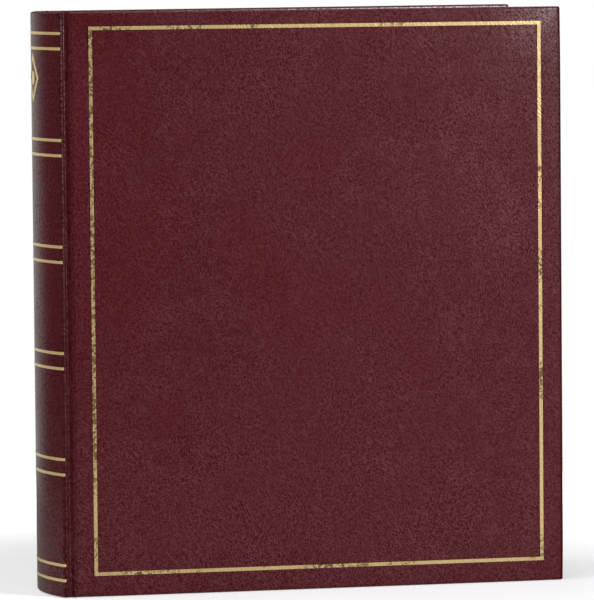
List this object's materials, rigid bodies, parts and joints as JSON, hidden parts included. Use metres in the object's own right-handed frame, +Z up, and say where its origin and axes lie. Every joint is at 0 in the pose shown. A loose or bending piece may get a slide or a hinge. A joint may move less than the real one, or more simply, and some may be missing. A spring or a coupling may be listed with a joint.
{
  "type": "stamp album",
  "caption": "Padded leatherette album on a rounded spine: hinged covers with a gold frame, and clear-strip stock leaves on linen hinges bound by screwed posts.",
  "frame": {"origin": "middle of the footprint that the standing album takes, on the surface under it", "axes": "+Z up the spine, +X from the spine to the fore edges, +Y from the front cover to the back cover; the front cover faces -Y"},
  "size_m": [0.2958, 0.1116, 0.325],
  "materials": {
    "leatherette": "grained burgundy leatherette, satin",
    "gold_foil": "hot-stamped gold foil, satin",
    "greyboard": "raw grey board",
    "foam": "open-cell foam sheet",
    "lining_cloth": "woven lining cloth",
    "endpaper": "laid cream paper",
    "channel_steel": "black enamelled sheet steel",
    "clamp_aluminium": "satin anodised",
    "post_brass": "polished brass",
    "spacer_board": "dark pressed board",
    "leaf_card": "matt black card",
    "clear_film": "clear glossy film",
    "linen": "woven black linen"
  },
  "bodies": {
    "spine": {"spine_board": "greyboard", "spine_leather": "leatherette", "spine_lining": "lining_cloth", "spine_gold_lines": "gold_foil", "spine_lozenge": "gold_foil", "front_joint": "leatherette", "back_joint": "leatherette", "binding_channel": "channel_steel", "front_clamp_bar": "clamp_aluminium", "back_clamp_bar": "clamp_aluminium", "binding_posts": "post_brass", "post_screws": "post_brass", "leaf_stubs": "leaf_card", "spacer_strips": "spacer_board"},
    "front_cover": {"front_board": "greyboard", "front_padding": "foam", "front_leather": "leatherette", "front_endpaper": "endpaper", "front_gold_frame": "gold_foil"},
    "back_cover": {"back_board": "greyboard", "back_padding": "foam", "back_leather": "leatherette", "back_endpaper": "endpaper"},
    "leaf_01": {"leaf_01_card": "leaf_card", "leaf_01_strips": "clear_film", "leaf_01_linen": "linen"},
    "leaf_02": {"leaf_02_card": "leaf_card", "leaf_02_strips": "clear_film", "leaf_02_linen": "linen"},
    "leaf_03": {"leaf_03_card": "leaf_card", "leaf_03_strips": "clear_film", "leaf_03_linen": "linen"},
    "leaf_04": {"leaf_04_card": "leaf_card", "leaf_04_strips": "clear_film", "leaf_04_linen": "linen"},
    "leaf_05": {"leaf_05_card": "leaf_card", "leaf_05_strips": "clear_film", "leaf_05_linen": "linen"},
    "leaf_06": {"leaf_06_card": "leaf_card", "leaf_06_strips": "clear_film", "leaf_06_linen": "linen"},
    "leaf_07": {"leaf_07_card": "leaf_card", "leaf_07_strips": "clear_film", "leaf_07_linen": "linen"},
    "leaf_08": {"leaf_08_card": "leaf_card", "leaf_08_strips": "clear_film", "leaf_08_linen": "linen"},
    "leaf_09": {"leaf_09_card": "leaf_card", "leaf_09_strips": "clear_film", "leaf_09_linen": "linen"},
    "leaf_10": {"leaf_10_card": "leaf_card", "leaf_10_strips": "clear_film", "leaf_10_linen": "linen"},
    "leaf_11": {"leaf_11_card": "leaf_card", "leaf_11_strips": "clear_film", "leaf_11_linen": "linen"},
    "leaf_12": {"leaf_12_card": "leaf_card", "leaf_12_strips": "clear_film", "leaf_12_linen": "linen"}
  },
  "joints": [
    {"name": "front_cover_hinge", "type": "hinge", "parent": "spine", "child": "front_cover", "pos_m": [-0.13492, -0.05591, 0.1625], "axis": [0, 0, -1], "range_deg": [0, 180], "deforming": ["front_joint"]},
    {"name": "back_cover_hinge", "type": "hinge", "parent": "spine", "child": "back_cover", "pos_m": [-0.13492, 0.01469, 0.1625], "axis": [0, 0, 1], "range_deg": [-8.5, 171.5], "deforming": ["back_joint"]},
    {"name": "leaf_01_hinge", "type": "hinge", "parent": "spine", "child": "leaf_01", "pos_m": [-0.11973, -0.0409, 0.1625], "axis": [0, 0, -1], "range_deg": [0, 120.1], "deforming": ["leaf_01_linen"]},
    {"name": "leaf_02_hinge", "type": "hinge", "parent": "spine", "child": "leaf_02", "pos_m": [-0.11973, -0.03711, 0.1625], "axis": [0, 0, -1], "range_deg": [0, 65.1], "deforming": ["leaf_02_linen"]},
    {"name": "leaf_03_hinge", "type": "hinge", "parent": "spine", "child": "leaf_03", "pos_m": [-0.11973, -0.03333, 0.1625], "axis": [0, 0, -1], "range_deg": [0, 59.19], "deforming": ["leaf_03_linen"]},
    {"name": "leaf_04_hinge", "type": "hinge", "parent": "spine", "child": "leaf_04", "pos_m": [-0.11973, -0.02954, 0.1625], "axis": [0, 0, -1], "range_deg": [0, 53.28], "deforming": ["leaf_04_linen"]},
    {"name": "leaf_05_hinge", "type": "hinge", "parent": "spine", "child": "leaf_05", "pos_m": [-0.11973, -0.02576, 0.1625], "axis": [0, 0, -1], "range_deg": [0, 47.37], "deforming": ["leaf_05_linen"]},
    {"name": "leaf_06_hinge", "type": "hinge", "parent": "spine", "child": "leaf_06", "pos_m": [-0.11973, -0.02198, 0.1625], "axis": [0, 0, -1], "range_deg": [0, 41.46], "deforming": ["leaf_06_linen"]},
    {"name": "leaf_07_hinge", "type": "hinge", "parent": "spine", "child": "leaf_07", "pos_m": [-0.11973, -0.01819, 0.1625], "axis": [0, 0, -1], "range_deg": [0, 35.55], "deforming": ["leaf_07_linen"]},
    {"name": "leaf_08_hinge", "type": "hinge", "parent": "spine", "child": "leaf_08", "pos_m": [-0.11973, -0.01441, 0.1625], "axis": [0, 0, -1], "range_deg": [0, 29.65], "deforming": ["leaf_08_linen"]},
    {"name": "leaf_09_hinge", "type": "hinge", "parent": "spine", "child": "leaf_09", "pos_m": [-0.11973, -0.01063, 0.1625], "axis": [0, 0, -1], "range_deg": [0, 23.74], "deforming": ["leaf_09_linen"]},
    {"name": "leaf_10_hinge", "type": "hinge", "parent": "spine", "child": "leaf_10", "pos_m": [-0.11973, -0.00685, 0.1625], "axis": [0, 0, -1], "range_deg": [0, 17.83], "deforming": ["leaf_10_linen"]},
    {"name": "leaf_11_hinge", "type": "hinge", "parent": "spine", "child": "leaf_11", "pos_m": [-0.11973, -0.00306, 0.1625], "axis": [0, 0, -1], "range_deg": [0, 11.92], "deforming": ["leaf_11_linen"]},
    {"name": "leaf_12_hinge", "type": "hinge", "parent": "spine", "child": "leaf_12", "pos_m": [-0.11973, 0.00072, 0.1625], "axis": [0, 0, -1], "range_deg": [0, 6.01], "deforming": ["leaf_12_linen"]}
  ],
  "couplings": [
    {"joint": "leaf_01_hinge", "follows": "front_cover_hinge", "ratio": 0.66667},
    {"joint": "leaf_02_hinge", "follows": "front_cover_hinge", "ratio": 0.36111},
    {"joint": "leaf_03_hinge", "follows": "front_cover_hinge", "ratio": 0.32828},
    {"joint": "leaf_04_hinge", "follows": "front_cover_hinge", "ratio": 0.29545},
    {"joint": "leaf_05_hinge", "follows": "front_cover_hinge", "ratio": 0.26263},
    {"joint": "leaf_06_hinge", "follows": "front_cover_hinge", "ratio": 0.2298},
    {"joint": "leaf_07_hinge", "follows": "front_cover_hinge", "ratio": 0.19697},
    {"joint": "leaf_08_hinge", "follows": "front_cover_hinge", "ratio": 0.16414},
    {"joint": "leaf_09_hinge", "follows": "front_cover_hinge", "ratio": 0.13131},
    {"joint": "leaf_10_hinge", "follows": "front_cover_hinge", "ratio": 0.09848},
    {"joint": "leaf_11_hinge", "follows": "front_cover_hinge", "ratio": 0.06566},
    {"joint": "leaf_12_hinge", "follows": "front_cover_hinge", "ratio": 0.03283}
  ]
}
